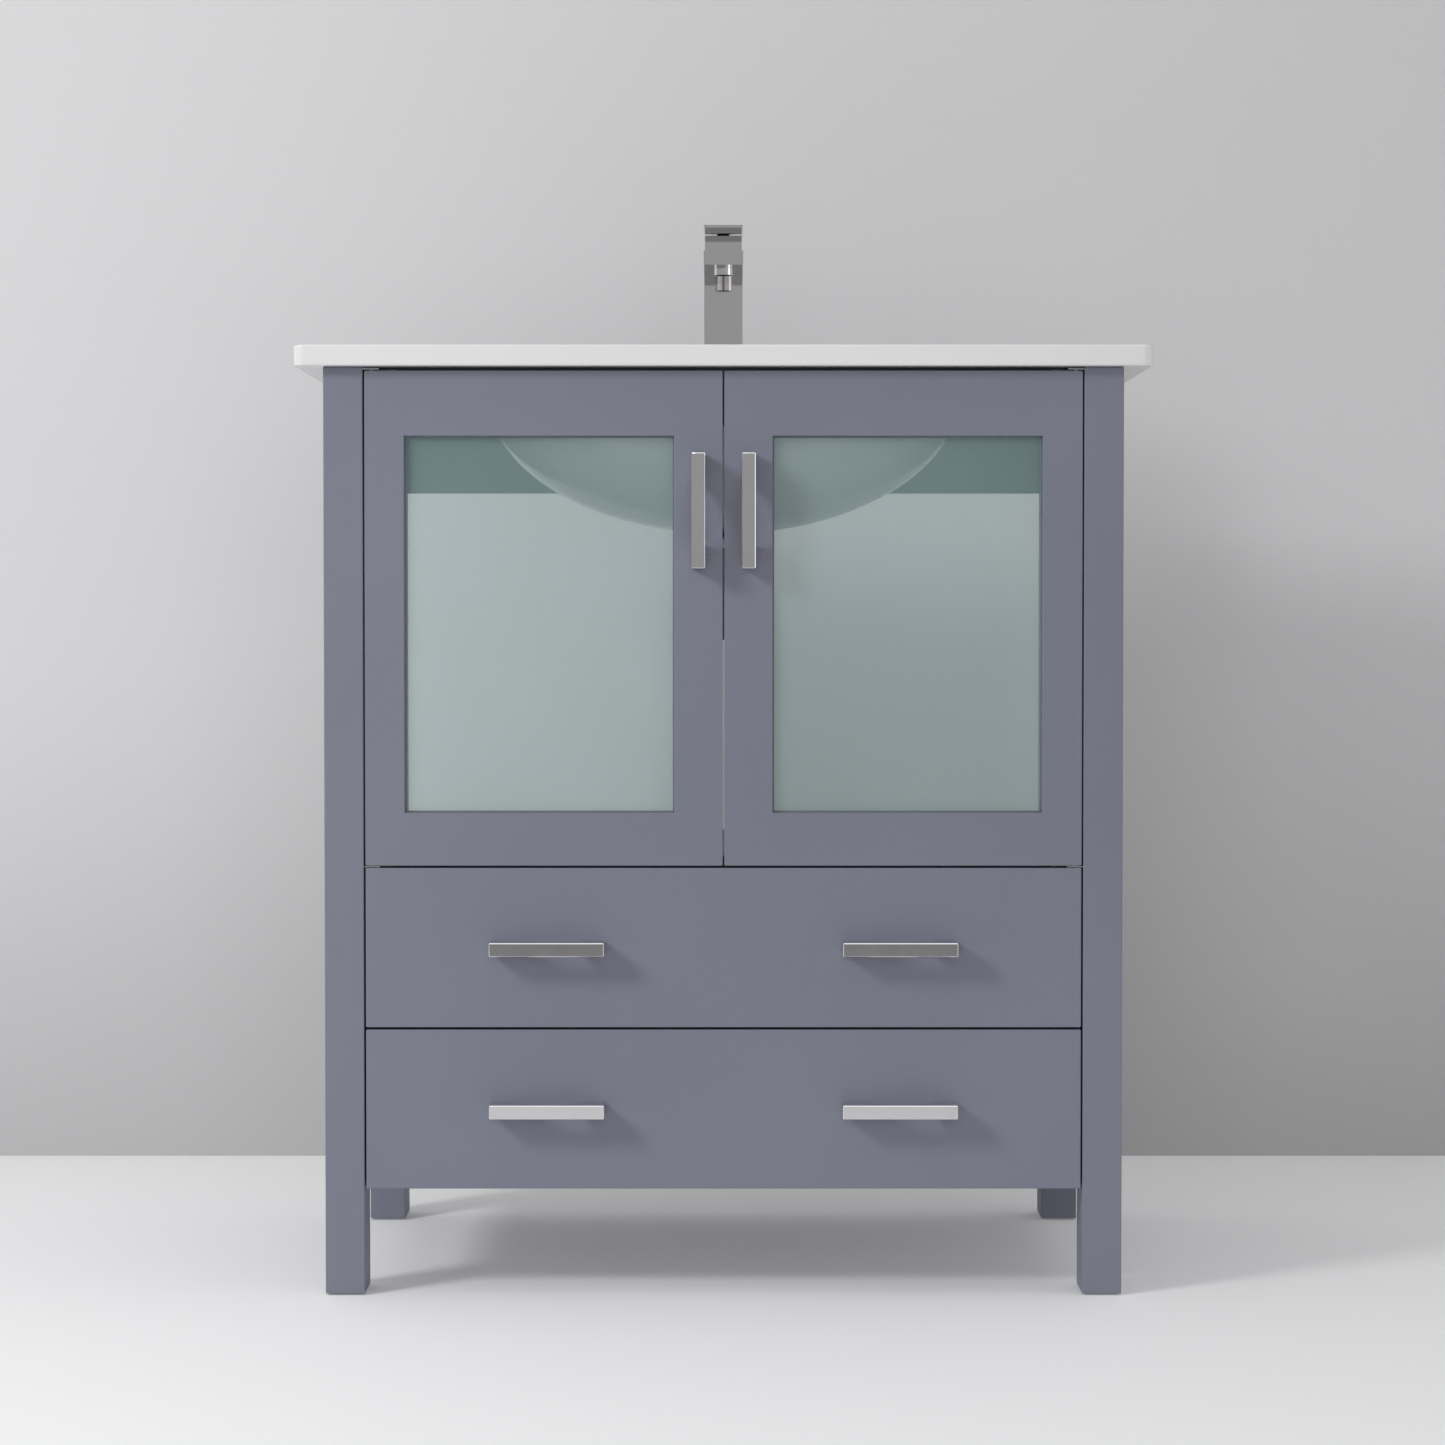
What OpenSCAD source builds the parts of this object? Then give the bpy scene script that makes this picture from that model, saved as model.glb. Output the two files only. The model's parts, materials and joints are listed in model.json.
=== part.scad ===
// Bathroom vanity cabinet: an open-backed wooden cabinet on four legs, with two
// glazed doors, two drawers, a ceramic top with its basin, and a single-lever tap.
// Millimetres. X runs to the right, Y into the cabinet from its front, Z up.
// Each piece is drawn from the cabinet's front face; from_front() moves it to the
// middle of the footprint, where the origin is, on the floor.

/* [Cabinet] */
// Width over the legs
cabinet_w = 711.2; // [650:0.1:760]
// Depth over the legs
cabinet_d = 437; // [420:1:480]
// Height to the underside of the top
cabinet_h = 828; // [810:1:860]
// Width of a leg
leg_w = 35.1; // [30:0.1:45]
// Depth of a leg
leg_d = 47.5; // [40:0.5:60]
// Thickness of the boards
board_t = 16; // [15:1:18]
// Height of the lowest board above the floor
toe_h = 95.7; // [80:0.1:110]

/* [Doors] */
// Thickness of a door or drawer front
door_t = 18; // [18:1:20]
// Height of a door
door_h = 440; // [420:1:460]
// Gap above the doors
door_top_gap = 3.3; // [3.2:0.1:5]
// Gap at the sides and between the doors
side_gap = 1.5; // [1.5:0.1:3]
// Width of the stile at the hinges
outer_stile_w = 35.4; // [30:0.1:50]
// Width of the stile at the middle
inner_stile_w = 43.4; // [35:0.1:60]
// Height of the top rail
door_top_rail_h = 58; // [45:1:70]
// Height of the bottom rail
door_bottom_rail_h = 47.5; // [40:0.5:60]
// Thickness of the glass
glass_t = 4; // [3:0.5:5]
// Depth of the glass behind the door's face
glass_recess = 5.5; // [4:0.5:7]

/* [Drawers] */
// Height of a drawer front
drawer_h = 142.5; // [130:0.5:150]
// Gap above a drawer front
drawer_gap = 2; // [2:0.1:4]
// Depth of a drawer box
box_d = 355; // [300:5:365]
// Height of a drawer box
box_h = 100; // [80:5:105]
// Thickness of a box side
box_t = 12; // [10:1:15]

/* [Handles] */
// Length of a handle
handle_l = 102; // [90:1:120]
// Width of a handle
handle_w = 12.4; // [10:0.1:16]
// How far a handle stands out
handle_out = 28; // [24:1:32]
// Distance between a handle's screws
handle_pitch = 76.2; // [70:0.1:80]

/* [Top and basin] */
// Width of the ceramic top
top_w = 762; // [740:1:800]
// Depth of the ceramic top
top_d = 457; // [450:1:480]
// Thickness of the slab
top_t = 19; // [16:1:25]
// Overhang of the slab at the front
top_front = 13; // [8:1:20]
// Half the width of the basin, outside
basin_rx = 229; // [200:1:240]
// Half the front-to-back size of the basin, outside
basin_ry = 150; // [130:1:152]
// Depth of the basin below the slab, outside
basin_deep = 142.6; // [120:0.1:150]
// Thickness of the basin's wall
basin_wall = 8; // [7:1:10]

/* [Tap] */
// Width of the square column
tap_w = 38; // [34:1:42]
// Height of the spout's underside above the top
spout_h = 99.3; // [80:0.1:120]
// Thickness of the spout
spout_t = 13.6; // [12:0.1:18]
// Reach of the spout in front of the column
spout_out = 100; // [80:1:120]

/* [Hidden] */
$fn = 64;

paint = [0.49, 0.49, 0.55];
birch = [0.80, 0.70, 0.54];
chrome = [0.75, 0.75, 0.77];
zinc = [0.62, 0.64, 0.66];
white = [0.92, 0.92, 0.93];
sea_glass = [0.62, 0.70, 0.70, 0.6];
rubber = [0.15, 0.15, 0.15];
nylon = [0.86, 0.86, 0.82];

eps = 0.01;
front_y = -(top_d - top_front - handle_out) / 2; // the front face, from the origin
inner_x = cabinet_w / 2 - leg_w;                 // inner face of the legs
top_z = cabinet_h + top_t;

// doors and drawer fronts
front_x = inner_x - side_gap;
door_z = cabinet_h - door_top_gap - door_h;
door_mid_x = side_gap / 2;
glass_x0 = door_mid_x + inner_stile_w;
glass_x1 = front_x - outer_stile_w;
glass_z0 = door_z + door_bottom_rail_h;
glass_z1 = door_z + door_h - door_top_rail_h;
rebate = 8;
pivot_in = 6;      // hinge pivot from the door's outer edge
pivot_back = 4;    // hinge pivot behind the door's face
pivot_x = front_x - pivot_in;
pin_r = 1.8;
bush_r = 3;
bush_l = 12;
bracket_t = 1.5;
bracket_x = inner_x - 27.5;
catch_x = 8;
catch_w = 28;
catch_h = 16;
catch_z = cabinet_h - 20 - catch_h;
inside_y = door_t + 4; // front of the boards behind the doors
upper_z = door_z - drawer_gap - drawer_h;
lower_z = upper_z - drawer_gap - drawer_h;

// boards
floor_z = door_z - 9;
top_rail_h = 50;
rear_rail_h = 95;
rear_low_rail_h = 70;
divider_d = 60;
divider_z = upper_z - 9;
wall_hole_x = 203.2;
wall_hole_z = 780;
wall_hole_r = 3;
glide_t = 1.5;

// drawer boxes and slides
slide_t = 12.7;
slide_h = 45;
slide_l = 350;
slide_sheet = 1.3;
box_x = inner_x - slide_t;
box_lift = 11.8;      // a box's underside above its front's lower edge
lower_box_z = lower_z + box_lift + 8.5;
upper_box_z = upper_z + box_lift;
box_bottom_t = 6;
box_groove = 5;
slide_screw_y = [36, 190, 340];

// handles
door_handle_x = 22.25;
door_handle_z = 699.85;
drawer_handle_x = 156.6;
upper_handle_z = 311.8;
lower_handle_z = 167.8;
arch_half = 30;
arch_deep = 24;
arch_r = (arch_half * arch_half + arch_deep * arch_deep) / (2 * arch_deep);
screw_r = 2;
screw_grip = 12;

// basin and drain
basin_y = 195;
inner_rx = basin_rx - basin_wall + 1;
inner_ry = basin_ry - basin_wall + 1;
inner_deep = top_t + basin_deep - 11.6;
drain_z = top_z - inner_deep;           // inside of the basin at the drain
outlet_z = cabinet_h - basin_deep;      // underside of the basin
drain_hole_r = 22.5;
body_r = 21;
body_bore = 17.5;
tailpiece_r = 15.875;

// tap
tap_y = 380;
inlet_r = 4.5;
inlet_l = 24;
waterway_r = 4;
gasket_t = 0.8;
spout_z = top_z + spout_h;
spout_top = spout_z + spout_t;
swivel_gap = 0.3;
hub_top = 985.4;
hub_w = tap_w - 1;
lever_z = 986.5;
lever_t = 3.1;
lever_w = tap_w + 0.6;
lever_front = 300;
lever_pivot_y = 388;
lever_pivot_z = 975;
lever_lift = 25;
spigot_r = 12;
cartridge_r = 17.4;
running = 0.05;

module from_front() {
    translate([0, front_y, 0]) children();
}

module both_sides() {
    children();
    mirror([1, 0, 0]) children();
}

// side 1 is the right hand, -1 the left
module on_side(side) {
    if (side > 0) children();
    else mirror([1, 0, 0]) children();
}

// a box from its lowest corner to its highest
module block(low, high) {
    translate(low) cube(high - low);
}

// a cylinder along Y, from y0 to y1
module rod_y(x, y0, y1, z, r) {
    translate([x, y0, z]) rotate([-90, 0, 0]) cylinder(h = y1 - y0, r = r);
}

// a cylinder along X, from x0 to x1
module rod_x(x0, x1, y, z, r) {
    translate([x0, y, z]) rotate([0, 90, 0]) cylinder(h = x1 - x0, r = r);
}

module ring(z0, z1, outer, inner) {
    difference() {
        translate([0, 0, z0]) cylinder(h = z1 - z0, r = outer);
        translate([0, 0, z0 - 1]) cylinder(h = z1 - z0 + 2, r = inner);
    }
}

// ---------------------------------------------------------------- frame

module leg(side, y) {
    glide_x = inner_x + leg_w / 2;
    color(paint) from_front() on_side(side) difference() {
        block([inner_x, y, glide_t], [inner_x + leg_w, y + leg_d, cabinet_h]);
        translate([glide_x, y + leg_d / 2, 0]) cylinder(h = 16, r = 3);
        if (y == 0) slide_screw_holes();
    }
}

module leg_glides() {
    color(nylon) from_front() both_sides() for (y = [0, cabinet_d - leg_d]) {
        translate([inner_x + leg_w / 2, y + leg_d / 2, 0]) {
            cylinder(h = glide_t, r = 13);
            cylinder(h = 15, r = 3);
        }
    }
}

module side_panel(side) {
    color(paint) from_front() on_side(side) difference() {
        block([inner_x, leg_d, toe_h], [inner_x + board_t, cabinet_d - leg_d, cabinet_h]);
        slide_screw_holes();
    }
}

module front_top_rail() {
    color(paint) from_front() difference() {
        block([-inner_x, inside_y, cabinet_h - top_rail_h], [inner_x, inside_y + board_t, cabinet_h]);
        both_sides() bracket_screws(0.05);
    }
}

module rear_top_rail() {
    color(paint) from_front() difference() {
        block([-inner_x, cabinet_d - board_t, cabinet_h - rear_rail_h], [inner_x, cabinet_d, cabinet_h]);
        both_sides() rod_y(wall_hole_x, cabinet_d - board_t - 1, cabinet_d + 1, wall_hole_z, wall_hole_r);
    }
}

module cabinet_floor() {
    color(paint) from_front() difference() {
        block([-inner_x, inside_y, floor_z], [inner_x, cabinet_d, floor_z + board_t]);
        both_sides() bracket_screws(0.05);
    }
}

module drawer_divider_rail() {
    color(paint) from_front()
        block([-inner_x, inside_y, divider_z], [inner_x, inside_y + divider_d, divider_z + board_t]);
}

module bottom_board() {
    color(paint) from_front()
        block([-inner_x, inside_y, toe_h], [inner_x, cabinet_d - board_t, toe_h + board_t]);
}

module rear_bottom_rail() {
    color(paint) from_front()
        block([-inner_x, cabinet_d - board_t, toe_h], [inner_x, cabinet_d, toe_h + rear_low_rail_h]);
}

module corner_blocks() {
    size = 40;
    tall = 28;
    front = inside_y + board_t;
    back = cabinet_d - board_t;
    color(birch) from_front() both_sides() translate([0, 0, cabinet_h - tall]) linear_extrude(tall) {
        polygon([[inner_x, front], [inner_x, front + size], [inner_x - size, front]]);
        polygon([[inner_x, back], [inner_x - size, back], [inner_x, back - size]]);
    }
}

// ---------------------------------------------------------------- door hinges

module bracket_screws(extra) {
    for (x = [bracket_x + 4, bracket_x + 9]) {
        rod_y(x, inside_y - bracket_t - extra, inside_y + 13 + extra, cabinet_h - 20, 1.5 + extra);
        rod_y(x, inside_y - bracket_t - extra, inside_y + 13 + extra, floor_z + 4, 1.5 + extra);
    }
}

// A flange on the board behind, a thin tongue in the gap, and the pin the door turns on
module door_hinge_brackets() {
    top_tongue = cabinet_h - 2.3;
    low_tongue = door_z - 1.5;
    color(zinc) from_front() both_sides() difference() {
        union() {
            block([bracket_x, inside_y - bracket_t, cabinet_h - 33],
                  [inner_x, inside_y, top_tongue + bracket_t]);
            block([pivot_x - 7, 1.5, top_tongue], [inner_x, inside_y, top_tongue + bracket_t]);
            translate([pivot_x, pivot_back, top_tongue - 10.7]) cylinder(h = 11, r = pin_r);
            block([bracket_x, inside_y - bracket_t, floor_z], [inner_x, inside_y, floor_z + board_t]);
            block([pivot_x - 7, 1.5, low_tongue], [inner_x, inside_y, low_tongue + 0.9]);
            translate([pivot_x, pivot_back, low_tongue + 0.5]) cylinder(h = 10.4, r = pin_r);
        }
        bracket_screws(0.05);
    }
}

module door_catches() {
    color(nylon) from_front() both_sides()
        block([catch_x, door_t + 0.6, catch_z], [catch_x + catch_w, inside_y, catch_z + catch_h]);
}

// ---------------------------------------------------------------- slides

module slide_screw_holes() {
    for (z = [lower_box_z, upper_box_z])
        for (y = slide_screw_y)
            rod_x(inner_x - slide_sheet - 0.1, inner_x + 12.5, y, z + box_h / 2, 1.8);
}

module cabinet_screws() {
    color(zinc) from_front() both_sides() {
        for (z = [lower_box_z, upper_box_z])
            for (y = slide_screw_y) {
                rod_x(inner_x - slide_sheet - 1.2, inner_x - slide_sheet, y, z + box_h / 2, 3.5);
                rod_x(inner_x - slide_sheet, inner_x + 12, y, z + box_h / 2, 1.75);
            }
        bracket_screws(0);
    }
}

// A channel along Y: a web on the side facing out, and two lips turned to the other side
module channel(web_x, lip_x, half_h, y0, y1, z) {
    lip0 = min(web_x, lip_x);
    lip1 = max(web_x, lip_x);
    web0 = web_x > lip_x ? web_x - slide_sheet : web_x;
    block([web0, y0, z - half_h], [web0 + slide_sheet, y1, z + half_h]);
    block([lip0, y0, z + half_h - slide_sheet], [lip1, y1, z + half_h]);
    block([lip0, y0, z - half_h], [lip1, y1, z - half_h + slide_sheet]);
}

module slide_cabinet_members() {
    color(zinc) from_front() both_sides() difference() {
        for (z = [lower_box_z, upper_box_z])
            channel(inner_x, inner_x - 8.5, slide_h / 2, inside_y, inside_y + slide_l, z + box_h / 2);
        slide_screw_holes();
    }
}

module slide_middle_members(box_z) {
    z = box_z + box_h / 2;
    color(zinc) from_front() both_sides() {
        channel(inner_x - 5.5, inner_x - 10, 20, inside_y + 2, inside_y + slide_l - 2, z);
        channel(inner_x - 5.5 - slide_sheet, inner_x - 2.5, 20, inside_y + 2, inside_y + slide_l - 2, z);
    }
}

module slide_drawer_members(box_z) {
    color(zinc) from_front() both_sides()
        channel(box_x, box_x + 4.6, 16, inside_y, inside_y + slide_l, box_z + box_h / 2);
}

// ---------------------------------------------------------------- drawers

module drawer_front(z, handle_z) {
    color(paint) from_front() difference() {
        block([-front_x, 0, z], [front_x, door_t, z + drawer_h]);
        drawer_screws(handle_z, 0.15);
    }
}

// the four sides are jointed at the corners, with the bottom in a groove
module drawer_box(z, handle_z) {
    back = door_t + box_d;
    slot_z = z + 8;
    color(birch) from_front() {
        both_sides() difference() {
            block([box_x - box_t, door_t, z], [box_x, back, z + box_h]);
            block([box_x - box_t - 1, door_t + box_t - box_groove, slot_z],
                  [box_x - box_t + box_groove, back - box_t + box_groove, slot_z + box_bottom_t]);
        }
        for (y = [door_t, back - box_t]) {
            difference() {
                block([-box_x + box_t, y, z], [box_x - box_t, y + box_t, z + box_h]);
                block([-box_x, door_t + box_t - box_groove, slot_z],
                      [box_x, back - box_t + box_groove, slot_z + box_bottom_t]);
                drawer_screws(handle_z, 0.15);
            }
        }
        block([-box_x + box_t - box_groove + 0.2, door_t + box_t - box_groove + 0.2, slot_z + 0.1],
              [box_x - box_t + box_groove - 0.2, back - box_t + box_groove - 0.2,
               slot_z + box_bottom_t - 0.1]);
    }
}

module drawer_screws(handle_z, extra) {
    for (x = [-drawer_handle_x, drawer_handle_x], s = [-1, 1])
        rod_y(x + s * handle_pitch / 2, -screw_grip, door_t + box_t, handle_z, screw_r + extra);
}

// ---------------------------------------------------------------- handles

// A bar handle lying along X, with its feet on the plane Y = 0 and an arch behind
module bar_handle() {
    difference() {
        translate([0, 0, -handle_w / 2]) linear_extrude(handle_w) difference() {
            translate([-handle_l / 2, -handle_out]) square([handle_l, handle_out]);
            translate([0, arch_r - arch_deep]) circle(r = arch_r, $fn = 128);
        }
        for (s = [-1, 1]) rod_y(s * handle_pitch / 2, -screw_grip, 1, 0, screw_r + 0.05);
    }
}

module screw_with_head(x, head_y, z) {
    rod_y(x, -screw_grip, head_y + eps, z, screw_r);
    rod_y(x, head_y, head_y + 2.5, z, 4);
}

module drawer_handles(z) {
    color(chrome) from_front() {
        both_sides() translate([drawer_handle_x, 0, z]) bar_handle();
        for (x = [-drawer_handle_x, drawer_handle_x], s = [-1, 1])
            screw_with_head(x + s * handle_pitch / 2, door_t + box_t, z);
    }
}

module door_handle(side) {
    color(chrome) from_front() on_side(side) translate([door_handle_x, 0, door_handle_z])
        rotate([0, 90, 0]) bar_handle();
}

module handle_screws(side) {
    color(zinc) from_front() on_side(side) for (s = [-1, 1])
        screw_with_head(door_handle_x, door_t, door_handle_z + s * handle_pitch / 2);
}

// ---------------------------------------------------------------- doors

module rebate_cut() {
    block([glass_x0 - rebate, glass_recess, glass_z0 - rebate],
          [glass_x1 + rebate, door_t + 1, glass_z1 + rebate]);
}

module strike_plate(extra) {
    block([10 - extra, door_t - 1.5 - extra, cabinet_h - 35 - extra],
          [34 + extra, door_t + (extra > 0 ? 1 : 0), cabinet_h - 21 + extra]);
}

module door_stiles(side) {
    top = door_z + door_h;
    color(paint) from_front() on_side(side) difference() {
        union() {
            block([door_mid_x, 0, door_z], [glass_x0, door_t, top]);
            block([glass_x1, 0, door_z], [front_x, door_t, top]);
        }
        rebate_cut();
        strike_plate(0.05);
        translate([pivot_x, pivot_back, door_z - 1]) cylinder(h = bush_l + 1, r = bush_r);
        translate([pivot_x, pivot_back, top - bush_l]) cylinder(h = bush_l + 1, r = bush_r);
        for (s = [-1, 1])
            rod_y(door_handle_x, -1, door_t + 1, door_handle_z + s * handle_pitch / 2, screw_r + 0.15);
    }
}

module door_rails(side) {
    color(paint) from_front() on_side(side) difference() {
        union() {
            block([glass_x0, 0, door_z], [glass_x1, door_t, glass_z0]);
            block([glass_x0, 0, glass_z1], [glass_x1, door_t, door_z + door_h]);
        }
        rebate_cut();
    }
}

module door_glass(side) {
    edge = rebate - 0.5;
    color(sea_glass) from_front() on_side(side)
        block([glass_x0 - edge, glass_recess, glass_z0 - edge],
              [glass_x1 + edge, glass_recess + glass_t, glass_z1 + edge]);
}

module glass_beads(side) {
    y0 = glass_recess + glass_t;
    y1 = door_t - 1;
    color(paint) from_front() on_side(side) difference() {
        block([glass_x0 - rebate, y0, glass_z0 - rebate], [glass_x1 + rebate, y1, glass_z1 + rebate]);
        block([glass_x0 + 1, y0 - 1, glass_z0 + 1], [glass_x1 - 1, y1 + 1, glass_z1 - 1]);
    }
}

// two pivot bushes and the plate for the magnetic catch
module door_fittings(side) {
    color(zinc) from_front() on_side(side) {
        translate([pivot_x, pivot_back, 0]) {
            ring(door_z, door_z + bush_l, bush_r, pin_r + running);
            ring(door_z + door_h - bush_l, door_z + door_h, bush_r, pin_r + running);
        }
        strike_plate(0);
    }
}

// ---------------------------------------------------------------- top and basin

module rounded_slab(w, d, t, r) {
    linear_extrude(t) {
        translate([-w / 2 + r, 0]) square([w - 2 * r, d]);
        translate([-w / 2, r]) square([w, d - 2 * r]);
        for (x = [-w / 2 + r, w / 2 - r], y = [r, d - r]) translate([x, y]) circle(r = r);
    }
}

module ellipsoid(rx, ry, rz) {
    scale([rx / rz, ry / rz, 1]) sphere(r = rz, $fn = 128);
}

module basin_hollow() {
    translate([0, basin_y, top_z]) ellipsoid(inner_rx, inner_ry, inner_deep);
}

module vanity_top() {
    color(white) from_front() difference() {
        translate([0, -top_front, cabinet_h]) rounded_slab(top_w, top_d, top_t, 10);
        basin_hollow();
        translate([0, tap_y, cabinet_h - 1]) cylinder(h = top_t + 2, r = 17.5);
    }
}

module basin() {
    color(white) from_front() difference() {
        union() {
            difference() {
                translate([0, basin_y, cabinet_h]) ellipsoid(basin_rx, basin_ry, basin_deep);
                block([-top_w, -top_d, cabinet_h], [top_w, 2 * top_d, cabinet_h + basin_deep + 1]);
            }
            translate([0, basin_y, outlet_z]) cylinder(h = 10, r = 38);
        }
        basin_hollow();
        translate([0, basin_y, drain_z]) cylinder(h = 20, r = 33);
        translate([0, basin_y, outlet_z - 1]) cylinder(h = 40, r = drain_hole_r);
    }
}

module at_drain() {
    from_front() translate([0, basin_y, 0]) children();
}

// a dished flange, its sleeve, and the spider that guides the stopper
module drain_flange() {
    color(chrome) at_drain() {
        ring(drain_z, drain_z + 2.5, 31.5, body_bore - 1.5);
        ring(drain_z - 20, drain_z + 1, body_bore - 0.1, body_bore - 1.5);
        difference() {
            union() {
                translate([0, 0, drain_z - 20]) cylinder(h = 6, r = 6);
                for (a = [0, 120, 240]) rotate([0, 0, a])
                    block([0, -1.5, drain_z - 20], [body_bore - 1, 1.5, drain_z - 16]);
            }
            translate([0, 0, drain_z - 21]) cylinder(h = 8, r = 3 + running);
        }
    }
}

module drain_body() {
    color(chrome) at_drain() difference() {
        translate([0, 0, drain_z - 62]) cylinder(h = 61.8, r = body_r);
        translate([0, 0, drain_z - 46]) cylinder(h = 50, r = body_bore);
        translate([0, 0, drain_z - 63]) cylinder(h = 20, r = tailpiece_r - 0.8);
    }
}

module drain_gasket() {
    color(rubber) at_drain() ring(outlet_z - 4, outlet_z, 32, body_r + 0.1);
}

module drain_locknut() {
    color(chrome) at_drain() difference() {
        union() {
            translate([0, 0, outlet_z - 14]) cylinder(h = 8, r = 31, $fn = 6);
            translate([0, 0, outlet_z - 6]) cylinder(h = 2, r = 32);
        }
        translate([0, 0, outlet_z - 15]) cylinder(h = 13, r = body_r + 0.1);
    }
}

// its top end is turned down to sit in the drain body
module tailpiece() {
    shoulder = drain_z - 62.2;
    color(chrome) at_drain() {
        ring(outlet_z - 100, shoulder, tailpiece_r, tailpiece_r - 1.8);
        ring(shoulder - eps, drain_z - 46, tailpiece_r - 0.85, tailpiece_r - 1.8);
    }
}

module drain_stopper() {
    color(chrome) at_drain() {
        translate([0, 0, drain_z + 3]) cylinder(h = 4, r = 26);
        translate([0, 0, drain_z - 30]) cylinder(h = 34, r = 3);
    }
}

// ---------------------------------------------------------------- tap

module at_tap() {
    from_front() translate([0, tap_y, 0]) children();
}

module tap_body() {
    half = tap_w / 2;
    aerator_y = -95;
    color(chrome) at_tap() difference() {
        union() {
            block([-half, -half, top_z + gasket_t], [half, half, spout_z + eps]);
            block([-half, -half - spout_out, spout_z], [half, half, spout_top]);
        }
        translate([0, 0, spout_top - 45]) cylinder(h = 46, r = cartridge_r + 0.1);
        for (x = [-8, 8]) translate([x, 0, top_z]) cylinder(h = 100, r = waterway_r);
        translate([0, aerator_y, spout_z - 1]) cylinder(h = 8, r = 8.8);
        rod_y(0, aerator_y, -10, spout_z + 5, waterway_r);
    }
}

module tap_aerator() {
    color(chrome) at_tap() translate([0, -95, 0]) difference() {
        translate([0, 0, spout_z - 8]) cylinder(h = 10, r = 8.75);
        translate([0, 0, spout_z - 9]) cylinder(h = 6, r = 7.2);
        for (a = [0:60:300]) rotate([0, 0, a]) translate([4, 0, spout_z - 9]) cylinder(h = 12, r = 1.2);
    }
}

module tap_base_gasket() {
    half = tap_w / 2 - 0.5;
    color(rubber) at_tap() difference() {
        block([-half, -half, top_z], [half, half, top_z + gasket_t]);
        translate([0, 0, top_z - 1]) cylinder(h = 3, r = 16.6);
    }
}

// a threaded shank through the top, with the two water inlets in it
module tap_shank() {
    color(chrome) at_tap() difference() {
        translate([0, 0, cabinet_h - 40]) cylinder(h = top_t + 40 + gasket_t, r = 16.5);
        for (x = [-8, 8]) translate([x, 0, cabinet_h - 41]) {
            cylinder(h = inlet_l + 1, r = inlet_r);
            cylinder(h = top_t + 45, r = waterway_r);
        }
    }
}

module tap_mounting_nut() {
    color(zinc) at_tap() difference() {
        union() {
            translate([0, 0, cabinet_h - 3]) cylinder(h = 3, r = 26);
            translate([0, 0, cabinet_h - 12]) cylinder(h = 9, r = 24, $fn = 6);
        }
        translate([0, 0, cabinet_h - 13]) cylinder(h = 14, r = 16.6);
    }
}

module tap_cartridge() {
    color(white) at_tap() difference() {
        translate([0, 0, spout_top - 45]) cylinder(h = 34, r = cartridge_r);
        for (x = [-8, 8]) translate([x, 0, spout_top - 46]) cylinder(h = 10, r = waterway_r);
    }
}

module tap_bonnet_ring() {
    color(zinc) at_tap() ring(spout_top - 11, spout_top - 0.5, cartridge_r, spigot_r + running);
}

// the square cap that turns on the body; its slot holds the lever
module tap_swivel() {
    half = hub_w / 2;
    pivot = [0, lever_pivot_y - tap_y, lever_pivot_z];
    color(chrome) at_tap() difference() {
        union() {
            block([-half, -half, spout_top + swivel_gap], [half, half, hub_top]);
            translate([0, 0, spout_top - 10]) cylinder(h = 12, r = spigot_r);
        }
        translate(pivot) rotate([-lever_lift - 1, 0, 0]) block([-30, -3, 10.8], [30, 40, 40]);
        block([-6.4, pivot[1] - 8, pivot[2] - 8], [6.4, half - 1, hub_top + 1]);
        rod_x(-14, 14, pivot[1], pivot[2], 2);
    }
}

module tap_lever_pin() {
    color(zinc) at_tap() rod_x(-14, 14, lever_pivot_y - tap_y, lever_pivot_z, 2);
}

module tap_lever() {
    half = lever_w / 2;
    color(chrome) from_front() difference() {
        union() {
            block([-half, lever_front, lever_z], [half, tap_y + hub_w / 2, lever_z + lever_t]);
            rod_x(-6, 6, lever_pivot_y, lever_pivot_z, 6.5);
            block([-6, lever_pivot_y - 6.5, lever_pivot_z], [6, lever_pivot_y + 4, lever_z + eps]);
        }
        rod_x(-7, 7, lever_pivot_y, lever_pivot_z, 2 + running);
    }
}

leg(-1, 0);  // front_left_leg
leg(1, 0);  // front_right_leg
leg(-1, cabinet_d - leg_d);  // rear_left_leg
leg(1, cabinet_d - leg_d);  // rear_right_leg
leg_glides();
side_panel(-1);  // left_side_panel
side_panel(1);  // right_side_panel
front_top_rail();
rear_top_rail();
cabinet_floor();
drawer_divider_rail();
bottom_board();
rear_bottom_rail();
corner_blocks();
door_hinge_brackets();
door_catches();
cabinet_screws();
slide_cabinet_members();
vanity_top();
basin();
drain_flange();
drain_body();
drain_gasket();
drain_locknut();
tailpiece();
drain_stopper();
tap_body();
tap_aerator();
tap_base_gasket();
tap_shank();
tap_mounting_nut();
tap_cartridge();
tap_bonnet_ring();
tap_swivel();
tap_lever_pin();
tap_lever();
door_stiles(-1);  // left_door_stiles
door_rails(-1);  // left_door_rails
door_glass(-1);  // left_door_glass
glass_beads(-1);  // left_glass_beads
door_handle(-1);  // left_door_handle
handle_screws(-1);  // left_handle_screws
door_fittings(-1);  // left_door_fittings
door_stiles(1);  // right_door_stiles
door_rails(1);  // right_door_rails
door_glass(1);  // right_door_glass
glass_beads(1);  // right_glass_beads
door_handle(1);  // right_door_handle
handle_screws(1);  // right_handle_screws
door_fittings(1);  // right_door_fittings
drawer_front(upper_z, upper_handle_z);  // upper_drawer_front
drawer_box(upper_box_z, upper_handle_z);  // upper_drawer_box
drawer_handles(upper_handle_z);  // upper_drawer_handles
slide_drawer_members(upper_box_z);  // upper_slide_drawer_members
slide_middle_members(upper_box_z);  // upper_slide_middle_members
drawer_front(lower_z, lower_handle_z);  // lower_drawer_front
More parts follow.
